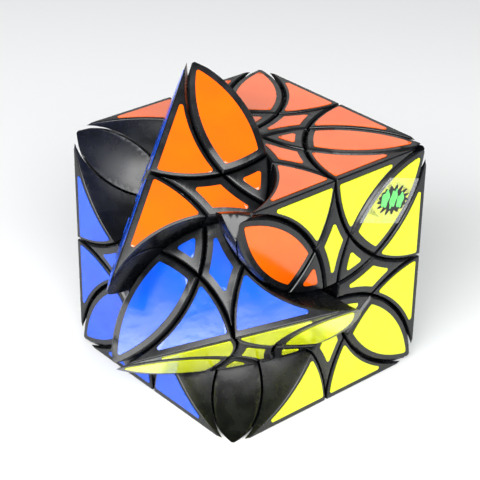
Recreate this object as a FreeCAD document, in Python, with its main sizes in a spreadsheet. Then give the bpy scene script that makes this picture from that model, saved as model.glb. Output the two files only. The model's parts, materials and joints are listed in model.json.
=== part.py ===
"""Edge- and corner-turning cube puzzle, stopped part-way through a scramble.

The cube turns about its 12 edges and its 8 corners.  Every edge turn is bounded by a ball whose
centre lies on the edge's axis, so it draws a circle from corner to corner on both faces, and every
corner turn by another ball, through three edge midpoints.  The cells that the balls leave are the
pieces.  Two edge sections are turned by the angle at which the cuts of one line up with the next,
arccos(1/3).
"""
import FreeCAD, Part
import itertools
import math
import os

Vector = FreeCAD.Vector
doc = FreeCAD.newDocument("TwistyCube")

# ---------------------------------------------------------------- driving dimensions (mm, degrees)
SIZES = {
    "cube_size": (70.0, "length of the cube's edge when it is solved"),
    "turn_gap": (0.7, "free gap between two pieces that turn past each other"),
    "edge_cut_centre": (52.9, "distance from the core to the middle of an edge cut's ball"),
    "edge_cut_radius": (35.1, "radius of an edge cut's ball"),
    "corner_cut_centre": (64.3, "distance from the core to the middle of a corner cut's ball"),
    "corner_cut_radius": (37.3, "radius of a corner cut's ball"),
    "core_radius": (23.5, "radius of the core's ball, before the cuts dimple it"),
    "corner_core_radius": (54.0, "reach of the hidden corner piece"),
    "petal_rim": (0.7, "chamfer of the petals' outer rims"),
    "wing_rim": (0.5, "chamfer of the edge pieces' outer rims"),
    "tip_rim": (0.6, "rounding of the small tips' outer rims"),
    "half_rim": (0.4, "rounding of the edge halves' outer rims"),
    "cap_depth": (4.0, "thickness of the cap that hides each screw"),
    "sticker_thick": (0.18, "thickness of a sticker"),
    "sticker_border": (2.2, "plastic left bare round a sticker"),
    "half_border": (0.9, "plastic left bare beside an edge half's long curved side"),
    "edge_border": (1.75, "plastic left bare along the cube's edges"),
    "sticker_round": (0.6, "corner rounding of a sticker"),
    "screw_radius": (1.15, "radius of a screw's shank"),
    "screw_start": (9.5, "distance from the centre to a screw's point"),
    "head_radius": (2.7, "radius of a screw's head"),
    "head_height": (1.8, "height of a screw's head"),
    "head_seat": (34.0, "distance from the centre to the underside of a head"),
    "well_radius": (3.3, "radius of the well that holds head and spring"),
    "well_floor": (24.0, "distance from the centre to the well's floor"),
    "hole_radius": (1.5, "radius of the screw's hole in an edge piece"),
    "washer_thick": (0.5, "thickness of a washer"),
    "spring_radius": (2.4, "outer radius of a spring"),
    "core_offset": (10.84, "how far the turned sections bring the core off the middle of the box"),
    "film_thick": (0.1, "thickness of the clear label"),
    "film_width": (22.8, "width of the clear label"),
    "film_height": (13.3, "height of the clear label"),
    "film_low": (21.1, "distance from the face's centre to the label's lower side"),
    "film_tilt": (19.0, "how far the label leans from level"),
}

sheet = doc.addObject("Spreadsheet::Sheet", "Sizes")
for row, (alias, (value, words)) in enumerate(SIZES.items(), start=1):
    sheet.set(f"A{row}", str(value))
    sheet.setAlias(f"A{row}", alias)
    sheet.set(f"B{row}", words)
doc.recompute()


def size(alias):
    """Read one driving dimension."""
    return float(sheet.get(alias))


HALF = size("cube_size") / 2
TURN = -math.degrees(math.acos(1 / 3))

# ---------------------------------------------------------------- directions
AXIS = {
    "front": (1, -1, 0), "topleft": (0, -1, 1), "topright": (1, 0, 1), "lowright": (1, 0, -1),
    "left": (-1, -1, 0), "topback": (-1, 0, 1), "lowleft": (0, -1, -1), "right": (1, 1, 0),
    "back": (0, 1, 1), "rear": (-1, 1, 0), "lowrear": (0, 1, -1), "lowback": (-1, 0, -1),
}
CORNERS = list(itertools.product((1, -1), repeat=3))
FACES = {
    "orange": (0, 0, 1), "red": (0, 0, -1), "yellow": (1, 0, 0),
    "white": (-1, 0, 0), "green": (0, 1, 0), "blue": (0, -1, 0),
}
EDGE, EDGE_NEXT, EDGE_SIDE = AXIS["topright"], AXIS["back"], AXIS["right"]
CORNER = (1, 1, 1)


def aim(axis):
    """Rotation that takes +Z to an axis."""
    return FreeCAD.Placement(Vector(), FreeCAD.Rotation(Vector(0, 0, 1), Vector(*axis)))


def boolean(kind, name, parts):
    """Fuse or intersect several shapes."""
    made = doc.addObject(f"Part::Multi{kind}", name)
    made.Shapes = parts
    return made


def cut(name, base, tool):
    """Take one shape from another."""
    made = doc.addObject("Part::Cut", name)
    made.Base = base
    made.Tool = tool
    return made


def solid(kind, name, **sizes):
    """A Part primitive whose sizes follow the sheet."""
    made = doc.addObject(f"Part::{kind}", name)
    for prop, expression in sizes.items():
        made.setExpression(prop.replace("_z", ".Base.z").replace("At", "Placement"), expression)
    return made


def cut_ball(name, axis, offset):
    """Ball of an edge or corner cut, moved outwards by an offset, its poles clear of the cube."""
    kind = "corner" if all(axis) else "edge"
    made = solid("Sphere", name, Radius=f"Sizes.{kind}_cut_radius + {offset}")
    made.Placement = FreeCAD.Placement(Vector(), FreeCAD.Rotation(Vector(1, 0, 0), Vector(*axis)))
    length = "sqrt(3)" if all(axis) else "sqrt(2)"
    for prop, value in zip("xyz", axis):
        made.setExpression(f"Placement.Base.{prop}", f"Sizes.{kind}_cut_centre * {value} / {length}")
    return made


class Cutters:
    """The cut surfaces round one corner, for keeping and for removing, at one inset."""

    def __init__(self, name, inset):
        self.name = name
        self.inset = inset
        self.made = {}

    def get(self, axis, keep):
        """The inside of a cut, shrunk by the inset to keep a piece, grown by it to remove one."""
        if (axis, keep) not in self.made:
            kind = "Keep" if keep else "Clear"
            label = self.name + kind + "".join("NOP"[value + 1] for value in axis)
            self.made[axis, keep] = cut_ball(label, axis, ("-" if keep else "") + self.inset)
        return self.made[axis, keep]

    def cell(self, name, blank, inside, outside):
        """What is left of a blank inside some cuts and outside others."""
        made = boolean("Common", name + "Inside", [blank] + [self.get(axis, True) for axis in inside])
        for number, axis in enumerate(outside):
            made = cut(f"{name}Cut{number}", made, self.get(axis, False))
        return made


GAP = "(Sizes.turn_gap / 2)"
plastic = Cutters("Piece", GAP)
paper = Cutters("Sticker", "(Sizes.turn_gap / 2 + Sizes.sticker_border + Sizes.sticker_round)")
half_paper = Cutters("HalfSticker", "(Sizes.turn_gap / 2 + Sizes.half_border + Sizes.sticker_round)")
film_cutters = Cutters("Film", "(Sizes.turn_gap / 2 + Sizes.petal_rim)")


# ---------------------------------------------------------------- blanks
def block(name, half):
    """A cube about the centre."""
    made = doc.addObject("Part::Box", name)
    for prop in ("Length", "Width", "Height"):
        made.setExpression(prop, f"2 * ({half})")
    for prop in ("x", "y", "z"):
        made.setExpression(f"Placement.Base.{prop}", f"-({half})")
    return made


def sticker_sheet(name, turned):
    """One face of the cube, short of the cube's edges by a sticker's border and rounding."""
    side = "(Sizes.cube_size / 2 - Sizes.edge_border - Sizes.sticker_round)"
    made = doc.addObject("Part::Plane", name + "Flat")
    made.setExpression("Length", f"2 * {side}")
    made.setExpression("Width", f"2 * {side}")
    made.setExpression("Placement.Base.x", f"-{side}")
    made.setExpression("Placement.Base.y", f"-{side}")
    made.setExpression("Placement.Base.z", "Sizes.cube_size / 2")
    if not turned:
        return made
    stood = doc.addObject("Part::Compound", name)
    stood.Links = [made]
    stood.Placement = aim((1, 0, 0))
    return stood

cube = block("Cube", "Sizes.cube_size / 2")
reach = solid("Sphere", "CornerReach", Radius="Sizes.corner_core_radius")
corner_blank = boolean("Common", "CornerBlank", [cube, reach])
top_sheet = sticker_sheet("TopSheet", False)
side_sheet = sticker_sheet("SideSheet", True)


# ---------------------------------------------------------------- one of each piece
def on_rim(edge):
    """True for an edge of a piece that lies in the cube's outer faces."""
    if edge.Degenerated:
        return False
    points = edge.discretize(5)
    return all(max(abs(p.x), abs(p.y), abs(p.z)) > HALF - 1e-4 for p in points)


def eased(name, base, amount, kind="Fillet", shortest=0):
    """Round or chamfer the edges of a piece that lie in the cube's outer faces."""
    doc.recompute()
    made = doc.addObject(f"Part::{kind}", name)
    made.Base = base
    made.Edges = [(number, amount, amount) for number, edge in enumerate(base.Shape.Edges, start=1)
                  if on_rim(edge) and edge.Length > shortest]
    return made


def piece_petal():
    """Large rounded triangle at a corner of a face."""
    raw = plastic.cell("Petal", cube, [EDGE, EDGE_NEXT, CORNER], [EDGE_SIDE])
    return eased("PetalPiece", raw, size("petal_rim"), "Chamfer", 12)


def piece_tip():
    """Small triangle near a face's centre."""
    raw = plastic.cell("Tip", cube, [EDGE, EDGE_NEXT], [EDGE_SIDE, CORNER])
    return eased("TipPiece", raw, size("tip_rim"))


def piece_half():
    """Two-colour piece on one half of a cube edge."""
    raw = plastic.cell("Half", cube, [EDGE, CORNER], [EDGE_NEXT, EDGE_SIDE, (1, -1, 1)])
    return eased("HalfPiece", raw, size("half_rim"))


def piece_corner_core():
    """Hidden piece under a cube corner, which carries three petals."""
    return plastic.cell("CornerCore", corner_blank, [EDGE, EDGE_NEXT, EDGE_SIDE, CORNER], [])


def wing_pieces():
    """Base and cap of an edge piece, with a well for its screw and spring."""
    mirrored = (1, -1, 1)
    others = [EDGE_NEXT, (0, -1, 1), EDGE_SIDE, (1, -1, 0), CORNER, mirrored]
    whole = plastic.cell("Wing", cube, [EDGE], others)
    eased_wing = eased("WingEased", whole, size("wing_rim"), "Chamfer")
    inner = block("CapParting", "Sizes.cube_size / 2 - Sizes.cap_depth")
    well = solid("Cylinder", "Well", Radius="Sizes.well_radius", Height="Sizes.cube_size", At_z="Sizes.well_floor")
    hole = solid("Cylinder", "WellHole", Radius="Sizes.hole_radius", Height="Sizes.cube_size")
    bored = boolean("Fuse", "WellBore", [well, hole])
    bored.Placement = aim(EDGE)
    base = cut("WingBasePiece", boolean("Common", "WingInner", [eased_wing, inner]), bored)
    return base, cut("WingCapPiece", eased_wing, inner)


def sticker(name, cutters, face, inside, outside, normal):
    """A sticker that follows the outline of its piece, with rounded corners."""
    core_outline = cutters.cell(name + "Sticker", face, inside, outside)
    doc.recompute()
    outline = doc.addObject("Part::Feature", name + "Outline")
    outline.Shape = core_outline.Shape.Faces[0].makeOffset2D(size("sticker_round"))
    made = doc.addObject("Part::Extrusion", name + "StickerPiece")
    made.Base = outline
    made.DirMode = "Custom"
    made.Dir = Vector(*normal)
    made.Solid = True
    made.setExpression("LengthFwd", "Sizes.sticker_thick")
    return made


def turned_solid(name, rings, start):
    """A round part about +Z from a list of (outer radius, inner radius, height), all expressions."""
    parts = []
    level = start
    for number, (outer, inner, height) in enumerate(rings):
        ring = solid("Cylinder", f"{name}Ring{number}", Radius=outer, Height=height, At_z=level)
        if inner:
            bore = solid("Cylinder", f"{name}Bore{number}", Radius=inner, Height=height, At_z=level)
            ring = cut(f"{name}Step{number}", ring, bore)
        parts.append(ring)
        level = f"{level} + {height}"
    return parts[0] if len(parts) == 1 else boolean("Fuse", name, parts)


def piece_screw():
    """Screw that holds an edge piece to its arm."""
    shank = "(Sizes.head_seat - Sizes.screw_start)"
    whole = turned_solid("Screw", [("Sizes.screw_radius", None, shank),
                                   ("Sizes.head_radius", None, "Sizes.head_height")], "Sizes.screw_start")
    slot = doc.addObject("Part::Box", "ScrewSlot")
    slot.setExpression("Length", "2 * Sizes.head_radius")
    slot.setExpression("Width", "Sizes.head_radius * 0.3")
    slot.setExpression("Height", "Sizes.head_height")
    slot.setExpression("Placement.Base.x", "-Sizes.head_radius")
    slot.setExpression("Placement.Base.y", "-Sizes.head_radius * 0.15")
    slot.setExpression("Placement.Base.z", "Sizes.head_seat + Sizes.head_height * 0.55")
    return cut("ScrewPiece", whole, slot)


def piece_washer():
    """Washer under a screw's head."""
    return turned_solid("Washer", [("Sizes.head_radius * 0.98", "Sizes.screw_radius * 1.1",
                                    "Sizes.washer_thick")], "Sizes.head_seat - Sizes.washer_thick")


def piece_spring():
    """Spring between washer and well floor, drawn as the sleeve that its coils fill."""
    return turned_solid("Spring", [("Sizes.spring_radius", "Sizes.screw_radius * 1.4",
                                    "Sizes.head_seat - Sizes.washer_thick - Sizes.well_floor")],
                        "Sizes.well_floor")


def piece_core():
    """Ball that all the edge cuts dimple, drilled along twelve axes for the screws."""
    whole = solid("Sphere", "CoreBall", Radius="Sizes.core_radius")
    drills = []
    for name, axis in AXIS.items():
        whole = cut(f"CoreDimple_{name}", whole, plastic.get(axis, False))
        drill = solid("Cylinder", f"Drill_{name}", Radius="Sizes.screw_radius", Height="Sizes.cube_size",
                      At_z="Sizes.screw_start")
        held = doc.addObject("Part::Compound", f"DrillAimed_{name}")
        held.Links = [drill]
        held.Placement = aim(axis)
        drills.append(held)
    return cut("CorePiece", whole, boolean("Fuse", "CoreDrills", drills))


def piece_film():
    """Clear label across the top right petal of the yellow face, trimmed to the petal."""
    blank = doc.addObject("Part::Box", "FilmBlank")
    blank.setExpression("Length", "Sizes.film_thick")
    blank.setExpression("Width", "Sizes.film_width")
    blank.setExpression("Height", "Sizes.film_height")
    blank.Placement = FreeCAD.Placement(Vector(), FreeCAD.Rotation(Vector(1, 0, 0), -size("film_tilt")))
    blank.setExpression("Placement.Base.x", "Sizes.cube_size / 2 + Sizes.sticker_thick")
    blank.setExpression("Placement.Base.y", "Sizes.film_low * sin(Sizes.film_tilt * 1 deg)")
    blank.setExpression("Placement.Base.z", "Sizes.film_low * cos(Sizes.film_tilt * 1 deg)")
    return film_cutters.cell("LabelFilm", blank, [EDGE, EDGE_SIDE, CORNER], [])


wing_base, wing_cap = wing_pieces()
PIECES = {
    "petal": piece_petal(), "tip": piece_tip(), "half": piece_half(), "corner_core": piece_corner_core(),
    "wing_base": wing_base, "wing_cap": wing_cap, "screw": piece_screw(), "washer": piece_washer(),
    "spring": piece_spring(),
}
WING_OTHERS = [EDGE_NEXT, (0, -1, 1), CORNER, (1, -1, 1)]
TOP, SIDE = (0, 0, 1), (1, 0, 0)
STICKERS = {
    "petal": sticker("Petal", paper, top_sheet, [EDGE, EDGE_NEXT, CORNER], [], TOP),
    "tip": sticker("Tip", paper, top_sheet, [EDGE, EDGE_NEXT], [CORNER], TOP),
    "half_top": sticker("HalfTop", half_paper, top_sheet, [EDGE, CORNER], [EDGE_NEXT], TOP),
    "half_side": sticker("HalfSide", half_paper, side_sheet, [EDGE, CORNER], [EDGE_SIDE], SIDE),
    "wing": sticker("Wing", paper, top_sheet, [EDGE], WING_OTHERS, TOP),
}
core_piece = piece_core()


# ---------------------------------------------------------------- where every piece goes
def cube_turn(from_pair, to_pair):
    """Rotation that takes one pair of directions to another."""
    def basis(first, second):
        first, second = Vector(*first), Vector(*second)
        third = first.cross(second)
        return FreeCAD.Matrix(first.x, second.x, third.x, 0, first.y, second.y, third.y, 0,
                              first.z, second.z, third.z, 0, 0, 0, 0, 1)
    return FreeCAD.Placement(basis(*to_pair) * basis(*from_pair).inverse())


def section_turn(name):
    """The part turn that an edge section has been given."""
    return FreeCAD.Placement(Vector(), FreeCAD.Rotation(Vector(*AXIS[name]), TURN))


def inside_edge(name, point):
    """True if a point is inside an edge's cut."""
    axis = Vector(*AXIS[name]).normalize()
    return (point - axis * size("edge_cut_centre")).Length < size("edge_cut_radius")


def shares(edge, corner):
    """True if an edge ends at a corner."""
    return sum(e * c for e, c in zip(edge, corner)) == 2


INSIDE_POINT = {
    "petal": Vector(0.66, 0.66, 0.97), "tip": Vector(0.25, 0.25, 0.95), "half": Vector(0.95, 0.5, 0.95),
    "wing": Vector(0.9, 0, 0.9), "corner_core": Vector(0.72, 0.72, 0.72),
}
CORNER_SECTION = (1, 1, -1)
SECTIONS = ("front", "topleft", "back", "lowback")


def body_and_place(kind, place, corner):
    """Which body a piece belongs to now, and where its turns have taken it."""
    point = place.multVec(INSIDE_POINT[kind] * HALF)
    for name in ("topleft", "front"):
        if inside_edge(name, point):
            place = section_turn(name).multiply(place)
            point = section_turn(name).multVec(point)
    for name in SECTIONS:
        if inside_edge(name, point):
            return name, place
    if corner == CORNER_SECTION and kind in ("petal", "half", "corner_core"):
        return "corner", place
    return "frame", place


nodes = {}
count = itertools.count(1)


def put(node, source, place):
    """Place one copy of a piece in a node."""
    link = doc.addObject("App::Link", f"Copy{next(count)}")
    link.LinkedObject = source
    link.Placement = place
    nodes.setdefault(node, []).append(link)


def face_name(place, normal):
    """Colour of the face that a sticker was made for, before any section was turned."""
    turned = place.multVec(Vector(*normal))
    return next(name for name, face in FACES.items() if (turned - Vector(*face)).Length < 0.1)


for face, corner in itertools.product(FACES.values(), CORNERS):
    if sum(f * c for f, c in zip(face, corner)) != 1:
        continue
    home = cube_turn(((0, 0, 1), CORNER), (face, corner))
    colour = face_name(home, (0, 0, 1))
    for kind in ("petal", "tip"):
        body, place = body_and_place(kind, home, corner)
        put(f"{body}_{kind}s", PIECES[kind], place)
        put(f"{body}_stickers_{colour}", STICKERS[kind], place)

for (name, edge), corner in itertools.product(AXIS.items(), CORNERS):
    if not shares(edge, corner):
        continue
    home = cube_turn((EDGE, CORNER), (edge, corner))
    body, place = body_and_place("half", home, corner)
    put(f"{body}_edge_halves", PIECES["half"], place)
    put(f"{body}_stickers_{face_name(home, (0, 0, 1))}", STICKERS["half_top"], place)
    put(f"{body}_stickers_{face_name(home, (1, 0, 0))}", STICKERS["half_side"], place)

for corner in CORNERS:
    home = cube_turn(((0, 0, 1), CORNER), ((0, 0, corner[2]), corner))
    body, place = body_and_place("corner_core", home, corner)
    put(f"{body}_corner_cores", PIECES["corner_core"], place)

for name, edge in AXIS.items():
    corner = next(c for c in CORNERS if shares(edge, c))
    home = cube_turn((EDGE, CORNER), (edge, corner))
    body, place = body_and_place("wing", home, corner)
    put(f"{body}_wing_base", PIECES["wing_base"], place)
    put(f"{body}_wing_cap", PIECES["wing_cap"], place)
    flip = FreeCAD.Placement(Vector(), FreeCAD.Rotation(Vector(*EDGE), 180))
    put(f"{body}_stickers_{face_name(home, (0, 0, 1))}", STICKERS["wing"], place)
    put(f"{body}_stickers_{face_name(home, (1, 0, 0))}", STICKERS["wing"], place.multiply(flip))
    for kind in ("screw", "washer", "spring"):
        put(f"frame_{kind}s", PIECES[kind], aim(edge))
put("frame_core", core_piece, FreeCAD.Placement())
put("frame_label_film", piece_film(), FreeCAD.Placement())


# ---------------------------------------------------------------- write the nodes
made_nodes = []
for name, links in nodes.items():
    node = doc.addObject("Part::Compound", "Node_" + name)
    node.Label = name
    node.Links = links
    made_nodes.append(node)
doc.recompute()


shift = Vector(-size("core_offset"), size("core_offset"), HALF + size("sticker_thick"))
for node in made_nodes:
    node.Placement = FreeCAD.Placement(shift, FreeCAD.Rotation())
doc.recompute()

for item in doc.Objects:
    if "Invalid" in item.State or "Error" in item.State:
        raise RuntimeError(f"{item.Label} failed: {item.State}")
os.makedirs("parts", exist_ok=True)
for node in made_nodes:
    shape = node.Shape
    if shape.isNull() or not shape.isValid():
        raise RuntimeError(f"{node.Label} has no valid shape")
    print(f"{node.Label:32s} solids {len(shape.Solids):3d} volume {shape.Volume:10.1f}")
    shape.exportStep(f"parts/{node.Label}.step")
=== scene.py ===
"""Looks of the edge- and corner-turning cube puzzle: plastics, stickers, label, light and camera."""
import json
import math

import bmesh
import bpy
from mathutils import Matrix, Vector

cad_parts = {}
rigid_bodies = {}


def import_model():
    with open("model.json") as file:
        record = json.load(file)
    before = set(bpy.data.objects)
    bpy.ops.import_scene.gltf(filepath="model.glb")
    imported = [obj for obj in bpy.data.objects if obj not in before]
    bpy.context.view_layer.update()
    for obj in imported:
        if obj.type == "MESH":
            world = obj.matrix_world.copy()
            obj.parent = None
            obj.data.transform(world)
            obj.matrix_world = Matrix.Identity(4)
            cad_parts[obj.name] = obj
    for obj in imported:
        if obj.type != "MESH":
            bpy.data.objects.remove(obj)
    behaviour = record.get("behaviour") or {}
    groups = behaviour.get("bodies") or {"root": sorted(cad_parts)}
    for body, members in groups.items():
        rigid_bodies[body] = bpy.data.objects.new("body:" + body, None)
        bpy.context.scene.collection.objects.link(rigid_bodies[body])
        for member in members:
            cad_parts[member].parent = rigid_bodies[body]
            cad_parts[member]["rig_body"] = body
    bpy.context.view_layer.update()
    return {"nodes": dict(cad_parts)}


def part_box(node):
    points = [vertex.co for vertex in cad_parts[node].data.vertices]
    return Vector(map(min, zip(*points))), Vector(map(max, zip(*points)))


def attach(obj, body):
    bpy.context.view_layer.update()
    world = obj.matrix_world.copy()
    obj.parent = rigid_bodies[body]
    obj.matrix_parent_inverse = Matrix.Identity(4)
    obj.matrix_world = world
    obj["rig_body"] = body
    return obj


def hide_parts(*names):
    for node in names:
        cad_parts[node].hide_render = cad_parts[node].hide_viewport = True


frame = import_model()

MM = 0.001
MERGE_MM = 0.002           # points closer than this are one
SHARP_ANGLE = 28           # degrees between two faces, past which shading breaks
EASE_ANGLE = 35            # degrees between two faces, past which an edge is eased
STICKER_EASE_MM = 0.05
MOULDED_EASE_MM = 0.16
INK_MM = 0.012             # thickness of one layer of ink
MARK_TILT = -19            # degrees, as the label leans
BLOT_POINTS = 96           # points round one patch of ink

# ------------------------------------------------------------ places, all worked out from the frame
cap_low, cap_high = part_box("frame_wing_cap")
CENTRE = (cap_low + cap_high) / 2
HALF = (cap_high.x - cap_low.x) / 2


# ------------------------------------------------------------ material tools
def linear(hex_colour):
    """sRGB hex to a linear RGBA tuple."""
    channels = [int(hex_colour[start:start + 2], 16) / 255 for start in (1, 3, 5)]
    lit = [c / 12.92 if c <= 0.04045 else ((c + 0.055) / 1.055) ** 2.4 for c in channels]
    return (*lit, 1.0)


def add_node(tree, kind, settings=None, values=None, links=None):
    """Add a shader node, set its properties and sockets, and link sockets to other nodes' outputs."""
    node = tree.nodes.new(kind)
    for name, value in (settings or {}).items():
        setattr(node, name, value)
    for name, value in (values or {}).items():
        node.inputs[name].default_value = value
    for name, output in (links or {}).items():
        tree.links.new(output, node.inputs[name])
    return node


def new_material(name):
    """An empty node material with its output, and its Object coordinates in millimetres."""
    material = bpy.data.materials.new(name)
    material.use_nodes = True
    tree = material.node_tree
    tree.nodes.clear()
    output = add_node(tree, "ShaderNodeOutputMaterial")
    place = add_node(tree, "ShaderNodeTexCoord")
    scaled = add_node(tree, "ShaderNodeMapping", values={"Scale": (1 / MM,) * 3},
                      links={"Vector": place.outputs["Object"]})
    return material, tree, output, scaled.outputs["Vector"]


def noise(tree, place, size_mm, detail=2.0):
    """Noise with features of about the given size."""
    return add_node(tree, "ShaderNodeTexNoise", values={"Scale": 1 / size_mm, "Detail": detail},
                    links={"Vector": place})


def ranged(tree, value, low, high):
    """Spread a 0.35-0.65 noise value over a range."""
    return add_node(tree, "ShaderNodeMapRange",
                    values={"From Min": 0.35, "From Max": 0.65, "To Min": low, "To Max": high},
                    links={"Value": value}).outputs["Result"]


def bumped(tree, layers):
    """Stack bumps from (height, depth in mm, strength)."""
    normal = None
    for height, depth_mm, strength in layers:
        links = {"Height": height}
        if normal is not None:
            links["Normal"] = normal
        made = add_node(tree, "ShaderNodeBump", values={"Distance": depth_mm * MM, "Strength": strength},
                        links=links)
        normal = made.outputs["Normal"]
    return normal


# ------------------------------------------------------------ finishes
def black_abs():
    """Polished injection-moulded ABS: near black, glossy, with faint sink and fine handling haze."""
    material, tree, output, place = new_material("moulded_black_abs")
    haze = noise(tree, place, 5.0, 4.0)
    sink = noise(tree, place, 9.0, 1.0)
    grain = noise(tree, place, 0.35, 2.0)
    tone = add_node(tree, "ShaderNodeMix", {"data_type": "RGBA"},
                    {"A": linear("#07080A"), "B": linear("#0D0F13")},
                    {"Factor": ranged(tree, haze.outputs["Fac"], 0.0, 1.0)})
    shader = add_node(tree, "ShaderNodeBsdfPrincipled", values={"IOR": 1.5},
                      links={"Base Color": tone.outputs[2],
                             "Roughness": ranged(tree, haze.outputs["Fac"], 0.22, 0.32),
                             "Normal": bumped(tree, [(sink.outputs["Fac"], 0.03, 0.4),
                                                     (grain.outputs["Fac"], 0.003, 0.4)])})
    tree.links.new(shader.outputs["BSDF"], output.inputs["Surface"])
    return material


def vinyl(name, colour, shade):
    """Glossy printed vinyl film: even colour, fine orange peel and small trapped bubbles."""
    material, tree, output, place = new_material(f"{name}_vinyl_sticker")
    drift = noise(tree, place, 12.0, 2.0)
    peel = noise(tree, place, 0.9, 3.0)
    wave = noise(tree, place, 6.0, 2.0)
    bubbles = add_node(tree, "ShaderNodeTexVoronoi", {"feature": "SMOOTH_F1"},
                       {"Scale": 1 / 2.6, "Smoothness": 0.6}, {"Vector": place})
    bubble = add_node(tree, "ShaderNodeMapRange", {"interpolation_type": "SMOOTHSTEP"},
                      {"From Min": 0.05, "From Max": 0.35, "To Min": 1.0, "To Max": 0.0},
                      {"Value": bubbles.outputs["Distance"]})
    tone = add_node(tree, "ShaderNodeMix", {"data_type": "RGBA"},
                    {"A": linear(colour), "B": linear(shade)},
                    {"Factor": ranged(tree, drift.outputs["Fac"], 0.0, 1.0)})
    shader = add_node(tree, "ShaderNodeBsdfPrincipled",
                      values={"IOR": 1.6},
                      links={"Base Color": tone.outputs[2],
                             "Roughness": ranged(tree, drift.outputs["Fac"], 0.1, 0.16),
                             "Normal": bumped(tree, [(wave.outputs["Fac"], 0.06, 0.6),
                                                     (peel.outputs["Fac"], 0.01, 0.5),
                                                     (bubble.outputs["Result"], 0.008, 0.3)])})
    tree.links.new(shader.outputs["BSDF"], output.inputs["Surface"])
    return material


def core_plastic():
    """Plain pale nylon of the hidden core: matt, slightly mottled."""
    material, tree, output, place = new_material("moulded_nylon_core")
    mottle = noise(tree, place, 3.0, 3.0)
    tone = add_node(tree, "ShaderNodeMix", {"data_type": "RGBA"},
                    {"A": linear("#D9D8D2"), "B": linear("#C9C8C0")},
                    {"Factor": ranged(tree, mottle.outputs["Fac"], 0.0, 1.0)})
    shader = add_node(tree, "ShaderNodeBsdfPrincipled", values={"IOR": 1.53, "Roughness": 0.5},
                      links={"Base Color": tone.outputs[2],
                             "Normal": bumped(tree, [(mottle.outputs["Fac"], 0.01, 0.4)])})
    tree.links.new(shader.outputs["BSDF"], output.inputs["Surface"])
    return material


def zinc_steel():
    """Zinc-plated steel of screws, washers and springs: bright, with fine turned lines."""
    material, tree, output, place = new_material("zinc_plated_steel")
    lines = noise(tree, place, 0.25, 2.0)
    tone = add_node(tree, "ShaderNodeMix", {"data_type": "RGBA"},
                    {"A": linear("#C4C6C9"), "B": linear("#A9ABAF")},
                    {"Factor": ranged(tree, lines.outputs["Fac"], 0.0, 1.0)})
    shader = add_node(tree, "ShaderNodeBsdfPrincipled", values={"Metallic": 1.0},
                      links={"Base Color": tone.outputs[2],
                             "Roughness": ranged(tree, lines.outputs["Fac"], 0.25, 0.4),
                             "Normal": bumped(tree, [(lines.outputs["Fac"], 0.006, 0.5)])})
    tree.links.new(shader.outputs["BSDF"], output.inputs["Surface"])
    return material


def clear_film():
    """Clear polyester label film: see-through, with a milky sheen and slight waves."""
    material, tree, output, place = new_material("clear_polyester_film")
    wave = noise(tree, place, 4.0, 3.0)
    film = add_node(tree, "ShaderNodeBsdfPrincipled",
                    values={"Base Color": linear("#E9EBEE"), "IOR": 1.55, "Roughness": 0.12},
                    links={"Normal": bumped(tree, [(wave.outputs["Fac"], 0.05, 0.6)])})
    clear = add_node(tree, "ShaderNodeBsdfTransparent")
    mixed = add_node(tree, "ShaderNodeMixShader",
                     links={0: ranged(tree, wave.outputs["Fac"], 0.1, 0.16),
                            1: clear.outputs["BSDF"], 2: film.outputs["BSDF"]})
    tree.links.new(mixed.outputs["Shader"], output.inputs["Surface"])
    return material


def label_ink(name, colour, shade):
    """Screen-printed ink on the label: solid colour with slight unevenness."""
    material, tree, output, place = new_material(f"{name}_label_ink")
    patch = noise(tree, place, 0.8, 3.0)
    tone = add_node(tree, "ShaderNodeMix", {"data_type": "RGBA"},
                    {"A": linear(colour), "B": linear(shade)},
                    {"Factor": ranged(tree, patch.outputs["Fac"], 0.0, 1.0)})
    shader = add_node(tree, "ShaderNodeBsdfPrincipled", values={"IOR": 1.5, "Roughness": 0.35},
                      links={"Base Color": tone.outputs[2]})
    tree.links.new(shader.outputs["BSDF"], output.inputs["Surface"])
    return material


ABS = black_abs()
STICKER_FINISH = {
    "orange": vinyl("orange", "#EE6400", "#E85C00"),
    "red": vinyl("red", "#C8141C", "#BD1018"),
    "yellow": vinyl("yellow", "#D6DF04", "#CCD602"),
    "white": vinyl("white", "#F2F3F1", "#E9EBEA"),
    "green": vinyl("green", "#12A046", "#0E953E"),
    "blue": vinyl("blue", "#0050D0", "#0048C6"),
}
NYLON = core_plastic()
STEEL = zinc_steel()
FILM = clear_film()


# ------------------------------------------------------------ the CAD pieces, finished
def finish_of(node):
    """Material of a node, by its name."""
    colour = node.rsplit("_", 1)[1]
    if "stickers" in node:
        return STICKER_FINISH[colour]
    if node == "frame_core":
        return NYLON
    if colour in ("screws", "washers", "springs"):
        return STEEL
    if node == "frame_label_film":
        return FILM
    return ABS


def smoothed_copy(node, source, edge_mm):
    """A merged, smooth-shaded copy of a node with eased edges, which stands for it."""
    mesh = bmesh.new()
    mesh.from_mesh(source.data)
    bmesh.ops.remove_doubles(mesh, verts=mesh.verts, dist=MERGE_MM * MM)
    bmesh.ops.dissolve_degenerate(mesh, edges=mesh.edges, dist=MERGE_MM * MM)
    data = bpy.data.meshes.new(node + "_finished")
    mesh.to_mesh(data)
    mesh.free()
    data.polygons.foreach_set("use_smooth", [True] * len(data.polygons))
    data.set_sharp_from_angle(angle=math.radians(SHARP_ANGLE))
    piece = bpy.data.objects.new(node + "_finished", data)
    bpy.context.scene.collection.objects.link(piece)
    data.materials.clear()
    data.materials.append(finish_of(node))
    eased = piece.modifiers.new("eased_edges", "BEVEL")
    eased.width = edge_mm * MM
    eased.segments = 2
    eased.limit_method = "ANGLE"
    eased.angle_limit = math.radians(EASE_ANGLE)
    eased.use_clamp_overlap = True
    eased.harden_normals = True
    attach(piece, source["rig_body"])
    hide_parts(node)


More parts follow.
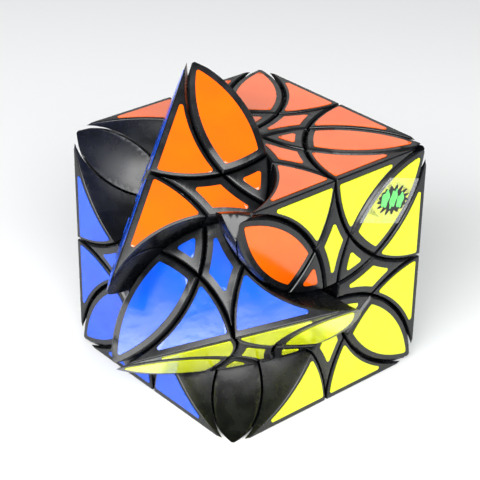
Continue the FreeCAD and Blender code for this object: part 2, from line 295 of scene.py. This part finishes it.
for node_name, node_object in frame["nodes"].items():
    if "stickers" in node_name:
        smoothed_copy(node_name, node_object, STICKER_EASE_MM)
    elif finish_of(node_name) is ABS:
        smoothed_copy(node_name, node_object, MOULDED_EASE_MM)
    else:
        node_object.data.materials.clear()
        node_object.data.materials.append(finish_of(node_name))


# ------------------------------------------------------------ the printed mark on the label
film_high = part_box("frame_label_film")[1]
MARK_PLACE = (Matrix.Translation((film_high.x, CENTRE.y + 0.625 * HALF, CENTRE.z + 0.632 * HALF))
              @ Matrix.Rotation(math.radians(MARK_TILT), 4, "X"))


def blot(name, finish, middle, width, height, spikes, depth, layer):
    """A splash-shaped patch of ink in a layer above the label: an oval with soft irregular spikes."""
    across, up = middle
    mesh = bmesh.new()
    bmesh.ops.create_circle(mesh, cap_ends=True, cap_tris=True, segments=BLOT_POINTS, radius=1)
    for point in mesh.verts:
        angle = math.atan2(point.co.y, point.co.x)
        lobe = 0.6 + 0.4 * math.sin(2 * angle + 0.7 * spikes)
        reach = 1 + depth * math.sin(spikes * angle) * lobe
        point.co = (layer * INK_MM, across + width / 2 * reach * point.co.x,
                    up + height / 2 * reach * point.co.y)
    grown = bmesh.ops.extrude_face_region(mesh, geom=mesh.faces[:])
    raised = [item for item in grown["geom"] if isinstance(item, bmesh.types.BMVert)]
    bmesh.ops.translate(mesh, verts=raised, vec=(INK_MM, 0, 0))
    bmesh.ops.recalc_face_normals(mesh, faces=mesh.faces[:])
    bmesh.ops.transform(mesh, matrix=MARK_PLACE @ Matrix.Scale(MM, 4), verts=mesh.verts[:])
    data = bpy.data.meshes.new(name)
    mesh.to_mesh(data)
    mesh.free()
    data.materials.append(finish)
    piece = bpy.data.objects.new(name, data)
    bpy.context.scene.collection.objects.link(piece)
    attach(piece, "frame")


BLACK_INK = label_ink("black", "#0B0C0B", "#151715")
GREEN_INK = label_ink("green", "#6FDD74", "#58CC62")
blot("mark_outline", BLACK_INK, (0, 0), 11.5, 7.6, 17, 0.24, 0)
blot("mark_leaf_left", GREEN_INK, (-3.2, 0.1), 3.0, 5.0, 5, 0.2, 1)
blot("mark_leaf_middle", GREEN_INK, (0.1, 0.3), 2.7, 5.4, 6, 0.2, 1)
blot("mark_leaf_right", GREEN_INK, (3.1, -0.1), 2.6, 4.4, 5, 0.2, 1)


# ------------------------------------------------------------ floor, light and camera
def studio_floor():
    """A plain pale table top."""
    mesh = bmesh.new()
    bmesh.ops.create_grid(mesh, x_segments=1, y_segments=1, size=3.0)
    data = bpy.data.meshes.new("studio_floor")
    mesh.to_mesh(data)
    mesh.free()
    material, tree, output, place = new_material("matt_white_card")
    shader = add_node(tree, "ShaderNodeBsdfPrincipled",
                      values={"Base Color": linear("#F4F5F6"), "Roughness": 0.9, "Specular IOR Level": 0.1})
    tree.links.new(shader.outputs["BSDF"], output.inputs["Surface"])
    data.materials.append(material)
    floor = bpy.data.objects.new("studio_floor", data)
    bpy.context.scene.collection.objects.link(floor)


def soft_box(name, azimuth, elevation, distance, width, height, power):
    """A rectangular soft light that faces the cube's centre; azimuth 0 is in front, on -Y."""
    turn, lift = math.radians(azimuth), math.radians(elevation)
    away = Vector((math.sin(turn) * math.cos(lift), -math.cos(turn) * math.cos(lift), math.sin(lift)))
    data = bpy.data.lights.new(name, "AREA")
    data.shape = "RECTANGLE"
    data.size, data.size_y = width, height
    data.energy = power
    light = bpy.data.objects.new(name, data)
    bpy.context.scene.collection.objects.link(light)
    light.matrix_world = (Matrix.Translation(CENTRE + away * distance)
                          @ away.to_track_quat("Z", "Y").to_matrix().to_4x4())


def sky():
    """An even white surround for what the camera sees, dimmer for what the gloss reflects."""
    world = bpy.data.worlds.new("white_surround")
    bpy.context.scene.world = world
    world.use_nodes = True
    tree = world.node_tree
    tree.nodes.clear()
    ray = add_node(tree, "ShaderNodeLightPath")
    bright = add_node(tree, "ShaderNodeBackground", values={"Color": (1, 1, 1, 1), "Strength": 1.05})
    dim = add_node(tree, "ShaderNodeBackground", values={"Color": (1, 1, 1, 1), "Strength": 0.16})
    mixed = add_node(tree, "ShaderNodeMixShader",
                     links={0: ray.outputs["Is Camera Ray"], 1: dim.outputs["Background"],
                            2: bright.outputs["Background"]})
    output = add_node(tree, "ShaderNodeOutputWorld")
    tree.links.new(mixed.outputs["Shader"], output.inputs["Surface"])


def camera():
    """Long-lens view of the front edge, from above, with the slight tilt of a hand-held product shot."""
    azimuth, elevation, roll = (math.radians(angle) for angle in (48.99, 29.08, 0.82))
    back = Vector((math.sin(azimuth) * math.cos(elevation), -math.cos(azimuth) * math.cos(elevation),
                   math.sin(elevation)))
    right = Vector((0, 0, 1)).cross(back).normalized()
    above = back.cross(right)
    across = math.cos(roll) * right + math.sin(roll) * above
    up = -math.sin(roll) * right + math.cos(roll) * above
    place = CENTRE + HALF * (-0.060 * across + 0.050 * up + 12.746 * back)
    data = bpy.data.cameras.new("product_camera")
    data.lens = 116.1
    data.sensor_width = 36.0
    data.clip_start = 0.01
    shooting = bpy.data.objects.new("product_camera", data)
    bpy.context.scene.collection.objects.link(shooting)
    shooting.matrix_world = Matrix.Translation(place) @ Matrix((across, up, back)).transposed().to_4x4()
    bpy.context.scene.camera = shooting


studio_floor()
sky()
soft_box("key_over_camera", 40, 37, 0.9, 1.75, 0.45, 25.0)
soft_box("back_rim", -131, 29, 1.1, 0.5, 0.3, 0.5)
camera()
bpy.context.scene.view_settings.view_transform = "Standard"
